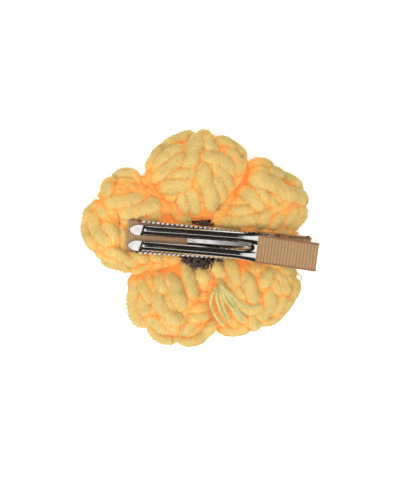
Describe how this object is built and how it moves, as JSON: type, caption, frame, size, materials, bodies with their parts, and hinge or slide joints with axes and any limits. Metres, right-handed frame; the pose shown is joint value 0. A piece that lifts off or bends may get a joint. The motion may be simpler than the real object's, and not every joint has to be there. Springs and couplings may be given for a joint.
{
  "type": "flower hair clip",
  "caption": "Crocheted five-petal yarn flower on a sprung double-prong metal hair clip with a toothed, ribbon-lined lower jaw",
  "frame": {"origin": "middle of the flower's front face, on the surface that the flower lies on, face down", "axes": "+Z away from the flower's front, towards the clip; +X along the clip, from the prong tips to the lever; +Y across the clip"},
  "size_m": [0.078, 0.0747, 0.0263],
  "materials": {
    "polished_steel": "nickel-plated, bright",
    "spring_steel": "plain",
    "tan_grosgrain": "ribbed woven ribbon",
    "hot_glue": "milky, smooth",
    "yellow_yarn": "thick plied yarn, crocheted",
    "brown_yarn": "plied yarn, crocheted"
  },
  "bodies": {
    "flower_and_jaw": {"tooth_jaw": "polished_steel", "pivot_pin": "spring_steel", "leaf_spring": "spring_steel", "jaw_ribbon": "tan_grosgrain", "glue_pad": "hot_glue", "flower_centre": "brown_yarn", "petal_top": "yellow_yarn", "petal_upper_right": "yellow_yarn", "petal_lower_right": "yellow_yarn", "petal_lower_left": "yellow_yarn", "petal_left": "yellow_yarn"},
    "prong_lever": {"prong_jaw": "polished_steel", "lever_ribbon": "tan_grosgrain"}
  },
  "joints": [
    {"name": "clip_hinge", "type": "hinge", "parent": "flower_and_jaw", "child": "prong_lever", "pos_m": [0.0203, 0.00275, 0.018], "axis": [0, 1, 0], "range_deg": [0, 28], "stiffness_Nm_per_rad": 0.14, "springref_deg": -17.19, "deforming": ["leaf_spring"]}
  ]
}
